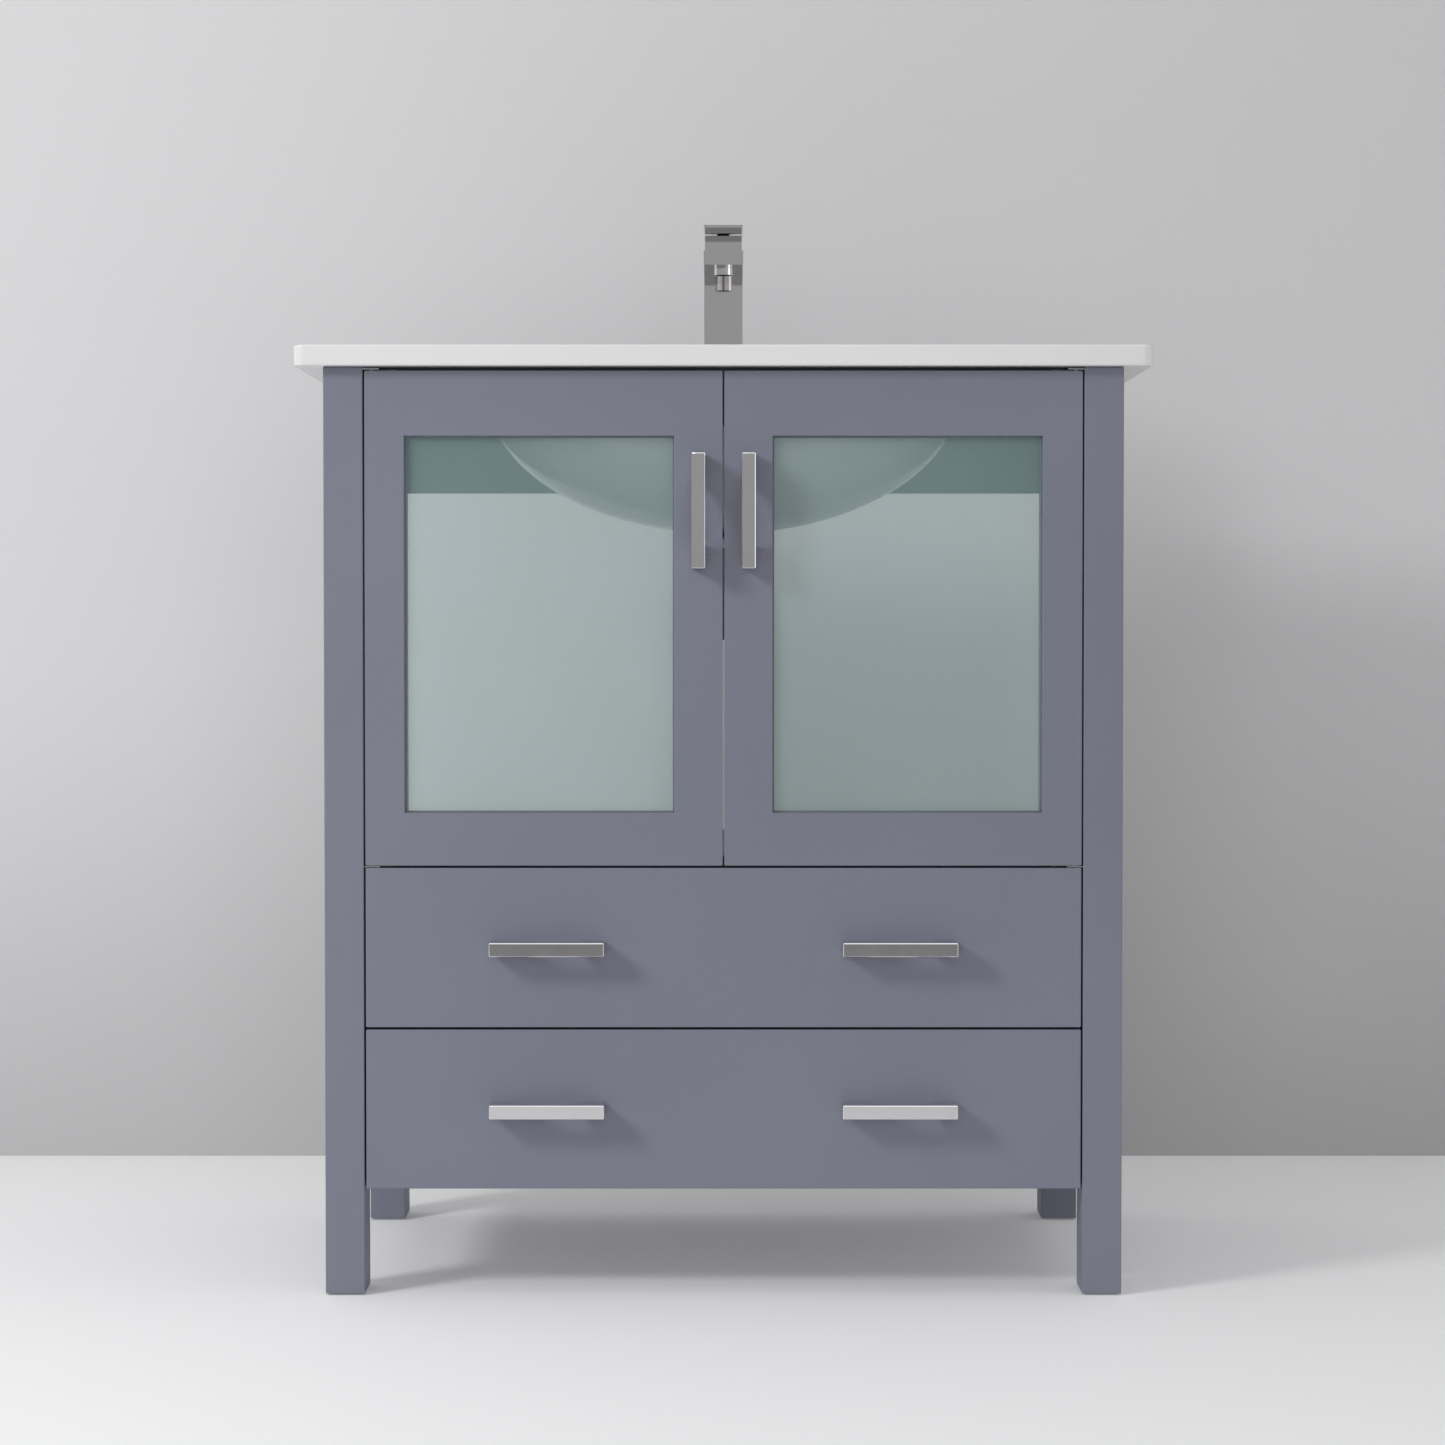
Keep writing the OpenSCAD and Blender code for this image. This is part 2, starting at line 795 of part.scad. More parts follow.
drawer_box(lower_box_z, lower_handle_z);  // lower_drawer_box
drawer_handles(lower_handle_z);  // lower_drawer_handles
slide_drawer_members(lower_box_z);  // lower_slide_drawer_members
slide_middle_members(lower_box_z);  // lower_slide_middle_members
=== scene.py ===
"""A bathroom vanity cabinet: painted wood, glazed doors, drawers, ceramic top and square tap."""

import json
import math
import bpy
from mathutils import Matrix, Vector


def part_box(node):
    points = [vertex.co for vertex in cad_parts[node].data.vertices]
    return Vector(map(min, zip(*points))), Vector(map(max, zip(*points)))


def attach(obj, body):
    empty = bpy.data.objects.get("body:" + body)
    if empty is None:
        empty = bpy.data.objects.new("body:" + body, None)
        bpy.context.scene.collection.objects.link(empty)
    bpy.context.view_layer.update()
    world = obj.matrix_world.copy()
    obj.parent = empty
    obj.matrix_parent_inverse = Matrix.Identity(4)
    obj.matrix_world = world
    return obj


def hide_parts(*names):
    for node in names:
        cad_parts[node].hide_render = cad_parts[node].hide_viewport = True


bl_info = {
    "name": "Bathroom Vanity Cabinet",
    "version": (1, 0, 0),
    "blender": (4, 5, 0),
    "location": "3D View > Sidebar > Vanity",
    "description": "Builds the finished pieces and the studio of a vanity cabinet around its frame",
    "category": "Add Mesh",
}

from contextlib import contextmanager

import bpy
from bpy.props import FloatProperty, FloatVectorProperty, PointerProperty
from mathutils import Matrix, Vector

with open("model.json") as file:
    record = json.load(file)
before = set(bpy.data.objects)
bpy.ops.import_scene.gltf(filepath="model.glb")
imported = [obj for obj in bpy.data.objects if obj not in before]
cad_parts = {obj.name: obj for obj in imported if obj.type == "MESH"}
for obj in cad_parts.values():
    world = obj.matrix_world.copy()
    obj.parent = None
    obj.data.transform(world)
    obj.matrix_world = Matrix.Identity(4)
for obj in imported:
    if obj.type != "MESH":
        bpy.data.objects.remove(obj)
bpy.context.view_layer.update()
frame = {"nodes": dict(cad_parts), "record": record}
MM = 0.001
CLOSE = 1e-5
ALONG = 0.9
SIDES = ("left", "right")
DRAWERS = ("upper", "lower")


# ------------------------------------------------------------------ sizes and colours


class VanitySizes(bpy.types.PropertyGroup):
    """Edges and small details that the frame leaves plain"""

    arris: FloatProperty(
        name="Board arris", description="Rounding along the edges of the painted boards",
        default=1.1 * MM, min=0.2 * MM, max=3 * MM, unit="LENGTH",
    )
    glass_chamfer: FloatProperty(
        name="Window chamfer", description="Chamfer around the window of a door",
        default=1.7 * MM, min=0.5 * MM, max=4 * MM, unit="LENGTH",
    )
    handle_edge: FloatProperty(
        name="Handle edge", description="Bevel around a handle",
        default=1.3 * MM, min=0.2 * MM, max=2 * MM, unit="LENGTH",
    )
    slab_edge: FloatProperty(
        name="Top edge", description="Rounding of the ceramic slab's edges",
        default=2.2 * MM, min=0.5 * MM, max=6 * MM, unit="LENGTH",
    )
    basin_rim: FloatProperty(
        name="Basin rim", description="Rounding where the slab turns down into the basin",
        default=6 * MM, min=1 * MM, max=12 * MM, unit="LENGTH",
    )
    tap_edge: FloatProperty(
        name="Tap edge", description="Bevel along the edges of the tap",
        default=1.0 * MM, min=0.2 * MM, max=2 * MM, unit="LENGTH",
    )
    hardware_edge: FloatProperty(
        name="Hardware edge", description="Bevel on the hinge brackets and the cabinet's screws",
        default=0.3 * MM, min=0.05 * MM, max=1 * MM, unit="LENGTH",
    )


class VanityColours(bpy.types.PropertyGroup):
    """Colours that a user would change"""

    paint: FloatVectorProperty(
        name="Paint", description="Paint on the cabinet, doors and drawer fronts",
        subtype="COLOR", size=3, min=0, max=1, default=(0.184, 0.190, 0.243),
    )
    ceramic: FloatVectorProperty(
        name="Ceramic", description="Glaze of the top and its basin",
        subtype="COLOR", size=3, min=0, max=1, default=(0.73, 0.73, 0.735),
    )
    glass: FloatVectorProperty(
        name="Glass", description="Tint of the milky door glass",
        subtype="COLOR", size=3, min=0, max=1, default=(0.335, 0.482, 0.480),
    )
    chrome: FloatVectorProperty(
        name="Chrome", description="Plated metal of the tap, drain and handles",
        subtype="COLOR", size=3, min=0, max=1, default=(0.78, 0.765, 0.775),
    )
    birch: FloatVectorProperty(
        name="Birch", description="Bare wood of the drawer boxes",
        subtype="COLOR", size=3, min=0, max=1, default=(0.62, 0.45, 0.28),
    )


def sizes():
    return bpy.context.scene.vanity_sizes


def colours():
    return bpy.context.scene.vanity_colours


# ------------------------------------------------------------------ modelling helpers


def deselect_all():
    bpy.ops.object.select_all(action="DESELECT")


def only(piece):
    """Selects one object and makes it active."""
    deselect_all()
    piece.select_set(True)
    bpy.context.view_layer.objects.active = piece


def named(name):
    """Names the primitive just added, and puts its place into its mesh."""
    piece = bpy.context.active_object
    piece.name = piece.data.name = name
    bpy.ops.object.transform_apply(location=True, rotation=True, scale=True)
    return piece


def block(name, low, high):
    """A box between two corners."""
    low, high = Vector(low), Vector(high)
    deselect_all()
    bpy.ops.mesh.primitive_cube_add(size=1, location=(low + high) / 2)
    bpy.context.active_object.scale = high - low
    return named(name)


def rod(name, start, end, radius, sides):
    """A cylinder between two points of its axis."""
    start, end = Vector(start), Vector(end)
    deselect_all()
    bpy.ops.mesh.primitive_cylinder_add(
        vertices=sides, radius=radius, depth=(end - start).length, location=(start + end) / 2
    )
    bpy.context.active_object.rotation_euler = (end - start).to_track_quat("Z", "Y").to_euler()
    return named(name)


@contextmanager
def editing(piece, kind):
    """Edit mode with nothing selected, in vertex, edge or face selection."""
    only(piece)
    bpy.ops.object.mode_set(mode="EDIT")
    bpy.ops.mesh.select_mode(type=kind)
    bpy.ops.mesh.select_all(action="DESELECT")
    try:
        yield
    finally:
        bpy.ops.object.mode_set(mode="OBJECT")


def pick_edges(piece, wanted):
    """Selects the edges for which wanted(middle, direction) holds; call it in edit mode."""
    bpy.ops.object.mode_set(mode="OBJECT")
    mesh = piece.data
    for edge in mesh.edges:
        a, b = (mesh.vertices[i].co for i in edge.vertices)
        edge.select = bool(wanted((a + b) / 2, (b - a).normalized()))
    bpy.ops.object.mode_set(mode="EDIT")


def bevel_edges(piece, wanted, width, segments):
    """A rounding along the wanted edges only."""
    with editing(piece, "EDGE"):
        pick_edges(piece, wanted)
        bpy.ops.mesh.bevel(offset=width, segments=segments, profile=0.5, affect="EDGES")


def modify(piece, kind, **settings):
    """Adds a modifier and applies it."""
    only(piece)
    modifier = piece.modifiers.new(kind.title(), kind)
    for key, value in settings.items():
        setattr(modifier, key, value)
    bpy.ops.object.modifier_apply(modifier=modifier.name)


def soften(piece, width, segments, angle=30):
    """A bevel along every edge sharper than the angle."""
    modify(
        piece, "BEVEL", width=width, segments=segments, limit_method="ANGLE",
        angle_limit=math.radians(angle), harden_normals=False,
    )


def chamfer(piece, width):
    """A flat chamfer along every sharp edge, its own edges barely eased."""
    soften(piece, width, segments=1, angle=40)
    soften(piece, 0.12 * width, segments=2, angle=40)


def carve(piece, *cutters):
    """Cuts each cutter out of the piece and removes it."""
    for cutter in cutters:
        modify(piece, "BOOLEAN", operation="DIFFERENCE", object=cutter, solver="EXACT")
        bpy.data.objects.remove(cutter)


def fuse(piece, *others):
    """Joins solids that overlap into one skin."""
    for other in others:
        modify(piece, "BOOLEAN", operation="UNION", object=other, solver="EXACT")
        bpy.data.objects.remove(other)


def join(name, pieces):
    """Puts separate solids into one object."""
    deselect_all()
    for piece in pieces:
        piece.select_set(True)
    bpy.context.view_layer.objects.active = pieces[0]
    bpy.ops.object.join()
    pieces[0].name = pieces[0].data.name = name
    return pieces[0]


def copy_of(piece, name, place):
    """A copy with its own mesh, moved by a matrix that goes into the mesh."""
    twin = piece.copy()
    twin.data = piece.data.copy()
    twin.name = twin.data.name = name
    bpy.context.collection.objects.link(twin)
    twin.data.transform(place)
    if place.determinant() < 0:
        twin.data.flip_normals()
    return twin


def tidy(piece, angle=35):
    """Merges doubles, turns faces outwards, smooths the rounded edges and keeps flat faces flat."""
    with editing(piece, "VERT"):
        bpy.ops.mesh.select_all(action="SELECT")
        bpy.ops.mesh.remove_doubles(threshold=1e-6)
        bpy.ops.mesh.normals_make_consistent(inside=False)
    only(piece)
    bpy.ops.object.shade_smooth_by_angle(angle=math.radians(angle))
    modify(piece, "WEIGHTED_NORMAL", keep_sharp=True)
    return piece


def body_of(node):
    """The body that a node belongs to."""
    for body, nodes in frame["record"]["behaviour"]["bodies"].items():
        if node in nodes:
            return body
    raise RuntimeError(f"no body holds {node}")


def slot_of(node):
    """The material slot of a node."""
    for part in frame["record"]["subparts"]:
        if part["node"] == node:
            return part["material_slot"]
    raise RuntimeError(f"no slot for {node}")


def place_piece(piece, finish, *nodes):
    """Gives a finished piece its material and body, looks up the slot of its first node, and hides
    the nodes that it stands for.
    """
    piece.data.materials.clear()
    piece.data.materials.append(finish)
    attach(piece, body_of(nodes[0]))
    slot_of(nodes[0])
    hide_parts(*nodes)


def refined(node, width, finish, angle=30, segments=2):
    """A copy of a node with its flat faces whole again and its edges bevelled."""
    piece = copy_of(frame["nodes"][node], f"{node}_finished", Matrix.Identity(4))
    with editing(piece, "VERT"):
        bpy.ops.mesh.select_all(action="SELECT")
        bpy.ops.mesh.remove_doubles(threshold=1e-6)
        bpy.ops.mesh.dissolve_limited(angle_limit=math.radians(1))
    soften(piece, width, segments, angle)
    place_piece(tidy(piece), finish, node)


# ------------------------------------------------------------------ materials


class Socket:
    """A shader value. Arithmetic on it adds Math nodes to its tree."""

    def __init__(self, tree, link):
        self.tree = tree
        self.link = link

    def _math(self, operation, *values):
        node = self.tree.nodes.new("ShaderNodeMath")
        node.operation = operation
        for slot, value in zip(node.inputs, values):
            if isinstance(value, Socket):
                self.tree.links.new(value.link, slot)
            else:
                slot.default_value = value
        return Socket(self.tree, node.outputs[0])

    def __add__(self, other):
        return self._math("ADD", self, other)

    __radd__ = __add__

    def __mul__(self, other):
        return self._math("MULTIPLY", self, other)

    __rmul__ = __mul__

    def __rsub__(self, other):
        return self._math("SUBTRACT", other, self)


class Finish:
    """A material and the nodes that make it."""

    def __init__(self, name):
        self.material = bpy.data.materials.new(name)
        self.material.use_nodes = True
        self.tree = self.material.node_tree
        self.shader = self.tree.nodes["Principled BSDF"]

    def add(self, kind, output=0, settings=(), **inputs):
        """Adds a node: its settings first, then its sockets, by name or by _number."""
        node = self.tree.nodes.new(kind)
        for key, value in dict(settings).items():
            setattr(node, key, value)
        for key, value in inputs.items():
            index = int(key[1:]) if key[1:].isdigit() and key[0] == "_" else key.replace("_", " ")
            self.feed(node.inputs[index], value)
        return Socket(self.tree, node.outputs[output])

    def feed(self, slot, value):
        """Links a socket, or sets its constant."""
        if isinstance(value, Socket):
            self.tree.links.new(value.link, slot)
        else:
            slot.default_value = value

    def set(self, **inputs):
        """Sets or links the sockets of the surface shader."""
        for key, value in inputs.items():
            self.feed(self.shader.inputs[key.replace("_", " ")], value)

    def place(self, scale=(1, 1, 1)):
        """Object coordinates, stretched."""
        where = self.add("ShaderNodeTexCoord", output="Object")
        return self.add("ShaderNodeMapping", Vector=where, Scale=scale)

    def noise(self, size, detail, roughness=0.5, stretch=(1, 1, 1)):
        """Soft noise from 0 to 1, with features about size metres across."""
        return self.add(
            "ShaderNodeTexNoise", Vector=self.place(stretch), Scale=1 / size, Detail=detail,
            Roughness=roughness,
        )

    def mix(self, factor, first, second):
        """A colour between two colours."""
        return self.add(
            "ShaderNodeMix", output=2, settings={"data_type": "RGBA"},
            _0=factor, _6=first, _7=second,
        )

    def ramp(self, value, low, high):
        """0 below low, 1 above high, and smooth between."""
        return self.add(
            "ShaderNodeMapRange", settings={"interpolation_type": "SMOOTHSTEP"},
            Value=value, From_Min=low, From_Max=high,
        )

    def bump(self, height, distance, strength):
        """Tilts the surface by a height."""
        normal = self.add("ShaderNodeBump", Height=height, Distance=distance, Strength=strength)
        self.set(Normal=normal)


def shade(colour, factor):
    """A colour made lighter or darker, as a shader takes it."""
    return (*(min(1.0, c * factor) for c in colour), 1.0)


def satin_paint():
    """Sprayed satin paint: faint orange peel and a slightly uneven gloss."""
    finish = Finish("satin_paint")
    paint = colours().paint
    drift = finish.noise(0.35, detail=2)
    peel = finish.noise(0.0022, detail=2)
    speck = finish.noise(0.0007, detail=1)
    finish.set(
        Base_Color=finish.mix(finish.ramp(drift, 0.3, 0.7), shade(paint, 0.97), shade(paint, 1.03)),
        Roughness=0.46 + 0.08 * finish.ramp(peel, 0.3, 0.7),
        IOR=1.48,
    )
    finish.bump(peel + 0.3 * speck, distance=0.00006, strength=0.6)
    return finish.material


def glazed_ceramic():
    """Glossy white glaze over fired clay, with the slow ripple of a dipped glaze."""
    finish = Finish("glazed_ceramic")
    glaze = colours().ceramic
    ripple = finish.noise(0.03, detail=2)
    tone = finish.noise(0.25, detail=2)
    finish.set(
        Base_Color=finish.mix(finish.ramp(tone, 0.3, 0.7), shade(glaze, 0.985), shade(glaze, 1.01)),
        Roughness=0.12 + 0.05 * ripple,
        IOR=1.52,
        Coat_Weight=0.35,
        Coat_Roughness=0.04,
    )
    finish.bump(ripple, distance=0.00012, strength=0.5)
    return finish.material


def plated(name, gloss, brush=0.0):
    """Chrome plate, polished or faintly brushed."""
    finish = Finish(name)
    chrome = colours().chrome
    haze = finish.noise(0.02, detail=3)
    finish.set(
        Base_Color=finish.mix(haze, shade(chrome, 0.96), shade(chrome, 1.03)),
        Metallic=1.0,
        Roughness=gloss + 0.05 * haze,
    )
    if brush:
        grain = finish.noise(0.0006, detail=2, stretch=(1, 1, 0.02))
        finish.bump(grain, distance=brush, strength=0.3)
    return finish.material


def zinc_plate():
    """Zinc-plated steel: dull, cloudy, with a crystalline mottle."""
    finish = Finish("zinc_plate")
    cloud = finish.noise(0.012, detail=4)
    grain = finish.noise(0.0015, detail=2)
    finish.set(
        Base_Color=finish.mix(cloud, (0.42, 0.43, 0.44, 1), (0.62, 0.63, 0.62, 1)),
        Metallic=1.0,
        Roughness=0.3 + 0.2 * cloud,
    )
    finish.bump(grain, distance=0.00003, strength=0.5)
    return finish.material


def birch(name, grain_axis):
    """Lacquered birch: pale figure and fine pores along the grain."""
    finish = Finish(name)
    wood = colours().birch
    stretch = [1.0, 1.0, 1.0]
    stretch[grain_axis] = 0.06
    figure = finish.noise(0.02, detail=4, roughness=0.6, stretch=tuple(stretch))
    pores = finish.noise(0.0012, detail=2, stretch=tuple(stretch))
    plank = finish.noise(0.12, detail=1, stretch=tuple(stretch))
    tone = finish.ramp(0.7 * figure + 0.3 * plank, 0.35, 0.65)
    lined = finish.mix(tone, shade(wood, 0.8), shade(wood, 1.15))
    finish.set(
        Base_Color=finish.mix(finish.ramp(pores, 0.55, 0.8), lined, shade(wood, 0.6)),
        Roughness=0.38 + 0.15 * pores,
        Coat_Weight=0.2,
    )
    finish.bump(pores, distance=0.00008, strength=0.4)
    return finish.material


def milky_glass():
    """Sea-green glass with a milky film, clear enough to see through."""
    finish = Finish("milky_glass")
    tint = colours().glass
    film = finish.noise(0.18, detail=2)
    finish.set(
        Base_Color=finish.mix(finish.ramp(film, 0.25, 0.75), shade(tint, 0.96), shade(tint, 1.04)),
        Roughness=0.12 + 0.04 * film,
        Alpha=0.27 + 0.02 * film,
        IOR=1.5,
    )
    return finish.material


def moulded(name, colour, roughness):
    """Moulded plastic or rubber with a fine spark-eroded texture."""
    finish = Finish(name)
    texture = finish.noise(0.0006, detail=2)
    drift = finish.noise(0.03, detail=2)
    finish.set(
        Base_Color=finish.mix(drift, shade(colour, 0.92), shade(colour, 1.08)),
        Roughness=roughness + 0.1 * texture,
    )
    finish.bump(texture, distance=0.00004, strength=0.5)
    return finish.material


MAKERS = {
    "satin_paint": satin_paint,
    "glazed_ceramic": glazed_ceramic,
    "tap_plate": lambda: plated("tap_plate", gloss=0.03),
    "handle_plate": lambda: plated("handle_plate", gloss=0.07, brush=0.00002),
    "zinc_plate": zinc_plate,
    "birch_along_x": lambda: birch("birch_along_x", 0),
    "birch_along_y": lambda: birch("birch_along_y", 1),
    "milky_glass": milky_glass,
    "black_rubber": lambda: moulded("black_rubber", (0.03, 0.03, 0.03), 0.6),
    "pale_nylon": lambda: moulded("pale_nylon", (0.72, 0.72, 0.68), 0.4),
    "cartridge_grey": lambda: moulded("cartridge_grey", (0.55, 0.56, 0.58), 0.3),
}
made = {}


def material(name):
    """The finish of that name, made on first use."""
    if name not in made:
        made[name] = MAKERS[name]()
    return made[name]


# ------------------------------------------------------------------ wooden frame


def board(node):
    """A painted board: the node's box, with its arrises rounded."""
    piece = block(f"{node}_board", *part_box(node))
    soften(piece, sizes().arris, 3)
    place_piece(tidy(piece), material("satin_paint"), node)


class VANITY_OT_legs(bpy.types.Operator):
    """Four square legs with rounded arrises"""

    bl_idname = "vanity.legs"
    bl_label = "Legs"

    def execute(self, context):
        for end in ("front", "rear"):
            for side in SIDES:
                board(f"{end}_{side}_leg")
        refined("leg_glides", 0.5 * MM, material("pale_nylon"))
        return {"FINISHED"}


class VANITY_OT_boards(bpy.types.Operator):
    """Side panels, rails, the cupboard floor and the corner blocks"""

    bl_idname = "vanity.boards"
    bl_label = "Boards and rails"

    def execute(self, context):
        for node in (
            "left_side_panel", "right_side_panel", "front_top_rail", "cabinet_floor",
            "drawer_divider_rail", "bottom_board", "rear_bottom_rail",
        ):
            board(node)
        refined("rear_top_rail", 0.8 * MM, material("satin_paint"), segments=3)
        refined("corner_blocks", 0.8 * MM, material("birch_along_x"))
        return {"FINISHED"}


# ------------------------------------------------------------------ doors


def window_of(side):
    """The clear opening of a door's glass: its lowest and highest corner in X and Z."""
    beads_low, beads_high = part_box(f"{side}_glass_beads")
    rebate = 8 * MM
    return (
        Vector((beads_low.x + rebate, 0, beads_low.z + rebate)),
        Vector((beads_high.x - rebate, 0, beads_high.z - rebate)),
    )


def door_frame(side):
    """Stiles and rails under one coat of paint, with a rebate behind and a chamfered window."""
    low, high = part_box(f"{side}_door_stiles")
    window_low, window_high = window_of(side)
    glass_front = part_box(f"{side}_door_glass")[0].y
    beads_low, beads_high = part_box(f"{side}_glass_beads")
    thick = high.y - low.y
    corner_round = 1.4 * MM
    piece = block(f"{side}_door_frame", low, high)
    carve(
        piece,
        block(
            "window", (window_low.x, low.y - thick, window_low.z),
            (window_high.x, high.y + thick, window_high.z),
        ),
        block(
            "rebate", (beads_low.x, glass_front, beads_low.z),
            (beads_high.x, high.y + thick, beads_high.z),
        ),
    )

    def corner(middle, way):
        outside = min(abs(middle.x - low.x), abs(middle.x - high.x)) < CLOSE
        return abs(way.y) > ALONG and outside

    def around_window(middle, way):
        reach = 10 * CLOSE
        across = window_low.x - reach < middle.x < window_high.x + reach
        upward = window_low.z - reach < middle.z < window_high.z + reach
        return abs(middle.y - low.y) < CLOSE and across and upward

    bevel_edges(piece, around_window, sizes().glass_chamfer, 2)
    bevel_edges(piece, corner, corner_round, 3)
    soften(piece, sizes().arris, 3, angle=50)
    nodes = (f"{side}_door_stiles", f"{side}_door_rails")
    place_piece(tidy(piece), material("satin_paint"), *nodes)


def bead_frame(side):
    """Quarter-round beads that hold the glass from behind, mitred at the corners."""
    low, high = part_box(f"{side}_glass_beads")
    window_low, window_high = window_of(side)
    reach = 1 * MM
    rounding = 5 * MM
    thick = high.y - low.y
    piece = block(f"{side}_beads", low, high)
    carve(
        piece,
        block(
            "sight", (window_low.x + reach, low.y - thick, window_low.z + reach),
            (window_high.x - reach, high.y + thick, window_high.z - reach),
        ),
    )

    def back_inner(middle, way):
        inside = window_low.x < middle.x < window_high.x and window_low.z < middle.z < window_high.z
        return abs(middle.y - high.y) < CLOSE and inside

    bevel_edges(piece, back_inner, rounding, 5)
    place_piece(tidy(piece), material("satin_paint"), f"{side}_glass_beads")


class VANITY_OT_doors(bpy.types.Operator):
    """Two glazed doors: frames, panes, beads and hinge fittings"""

    bl_idname = "vanity.doors"
    bl_label = "Doors"

    def execute(self, context):
        for side in SIDES:
            door_frame(side)
            bead_frame(side)
            refined(f"{side}_door_glass", 0.5 * MM, material("milky_glass"))
            refined(f"{side}_door_fittings", 0.25 * MM, material("zinc_plate"))
        return {"FINISHED"}


# ------------------------------------------------------------------ drawers


def drawer_front(level):
    """The painted front of a drawer, its corners rounded a little more than its arrises."""
    corner_round = 1.2 * MM
    node = f"{level}_drawer_front"
    piece = block(f"{level}_drawer_face", *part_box(node))
    bevel_edges(piece, lambda middle, way: abs(way.y) > ALONG, corner_round, 3)
    soften(piece, sizes().arris, 3, angle=50)
    place_piece(tidy(piece), material("satin_paint"), node)


def drawer_box(level):
    """Birch sides and ends, and the bottom panel in its groove."""
    node = f"{level}_drawer_box"
    low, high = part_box(node)
    wall, groove = 12 * MM, 5 * MM
    panel_rise, panel = 8 * MM, 6 * MM
    board_edge, panel_edge = 1.0 * MM, 0.4 * MM
    inset = wall - groove
    panel_low = low.z + panel_rise
    panel_high = panel_low + panel

    def birch_board(part, start, end, edge, segments, grain):
        piece = block(f"{level}_box_{part}", start, end)
        soften(piece, edge, segments)
        place_piece(tidy(piece), material(f"birch_along_{grain}"), node)

    for side, x0, x1 in (("left", low.x, low.x + wall), ("right", high.x - wall, high.x)):
        birch_board(side, (x0, low.y, low.z), (x1, high.y, high.z), board_edge, 3, "y")
    for end, y0, y1 in (("front", low.y, low.y + wall), ("back", high.y - wall, high.y)):
        start, stop = (low.x + wall, y0, low.z), (high.x - wall, y1, high.z)
        birch_board(end, start, stop, board_edge, 3, "x")
    start = (low.x + inset, low.y + inset, panel_low)
    stop = (high.x - inset, high.y - inset, panel_high)
    birch_board("bottom", start, stop, panel_edge, 2, "x")


class VANITY_OT_drawers(bpy.types.Operator):
    """Two drawers: fronts, birch boxes and the members of their slides"""

    bl_idname = "vanity.drawers"
    bl_label = "Drawers"

    def execute(self, context):
        edge = 0.25 * MM
        for level in DRAWERS:
            drawer_front(level)
            drawer_box(level)
            refined(f"{level}_slide_drawer_members", edge, material("zinc_plate"))
            refined(f"{level}_slide_middle_members", edge, material("zinc_plate"))
        refined("slide_cabinet_members", edge, material("zinc_plate"))
        return {"FINISHED"}


# ------------------------------------------------------------------ handles

HEAD_HEIGHT = 2.5 * MM
SCREW_DEPTH = 12 * MM
SCREW_PITCH = 76.2 * MM


def bar_handle(length, width, reach):
    """A bar handle along X, its feet on the plane Y = 0, hollowed behind by an arch."""
    half_arch, deep = 30 * MM, 24 * MM
    radius = (half_arch**2 + deep**2) / (2 * deep)
    centre = radius - deep
    piece = block("handle", (-length / 2, -reach, -width / 2), (length / 2, 0, width / 2))
    carve(piece, rod("arch", (0, centre, -width), (0, centre, width), radius, 128))
    chamfer(piece, sizes().handle_edge)
    return tidy(piece)


def screw(head_y):
    """A pan-head screw along Y with a cross recess: its head at head_y, its tip in the handle."""
    shank_radius, head_radius, head_round = 2 * MM, 4 * MM, 1.2 * MM
    sunk, over = 0.01 * MM, 0.5 * MM
    half, thin, deep = 2.2 * MM, 0.5 * MM, 1.4 * MM
    top = head_y + HEAD_HEIGHT
    shank = rod("screw", (0, -SCREW_DEPTH, 0), (0, head_y, 0), shank_radius, 24)
    head = rod("head", (0, head_y - sunk, 0), (0, top, 0), head_radius, 40)
    bevel_edges(head, lambda middle, way: middle.y > top - 0.1 * MM, head_round, 4)
    for across, up in ((half, thin), (thin, half)):
        carve(head, block("slot", (-across, top - deep, -up), (across, top + over, up)))
    return join("screw", [shank, head])


def screw_pair(name, one, middle, way, node):
    """Copies of a screw at either end of a handle that lies along way."""
    both = [
        copy_of(one, "screw_copy", Matrix.Translation(middle + sign * SCREW_PITCH / 2 * way))
        for sign in (-1, 1)
    ]
    place_piece(tidy(join(name, both)), material("zinc_plate"), node)


class VANITY_OT_handles(bpy.types.Operator):
    """Six identical bar handles and the screws that hold them"""

    bl_idname = "vanity.handles"
    bl_label = "Handles"

    def execute(self, context):
        low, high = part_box("left_door_handle")
        size = high - low
        front = high.y
        pattern = bar_handle(size.z, size.x, size.y)
        plate = material("handle_plate")
        upright = Matrix.Rotation(math.radians(90), 4, "Y")
        along_x, along_z = Vector((1, 0, 0)), Vector((0, 0, 1))
        for side in SIDES:
            node = f"{side}_door_handle"
            low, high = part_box(node)
            middle = Vector(((low.x + high.x) / 2, front, (low.z + high.z) / 2))
            place = Matrix.Translation(middle) @ upright
            place_piece(copy_of(pattern, f"{side}_door_pull", place), plate, node)
            node = f"{side}_handle_screws"
            one = screw(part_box(node)[1].y - HEAD_HEIGHT - front)
            screw_pair(f"{side}_door_screws", one, middle, along_z, node)
            bpy.data.objects.remove(one)
        for level in DRAWERS:
            node = f"{level}_drawer_handles"
            low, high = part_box(node)
            one = screw(high.y - HEAD_HEIGHT - front)
            for side, x in (("left", low.x + size.z / 2), ("right", high.x - size.z / 2)):
                middle = Vector((x, front, (low.z + high.z) / 2))
                pull = copy_of(pattern, f"{level}_{side}_pull", Matrix.Translation(middle))
                place_piece(pull, plate, node)
                screw_pair(f"{level}_{side}_screws", one, middle, along_x, node)
            bpy.data.objects.remove(one)
        bpy.data.objects.remove(pattern)
        return {"FINISHED"}


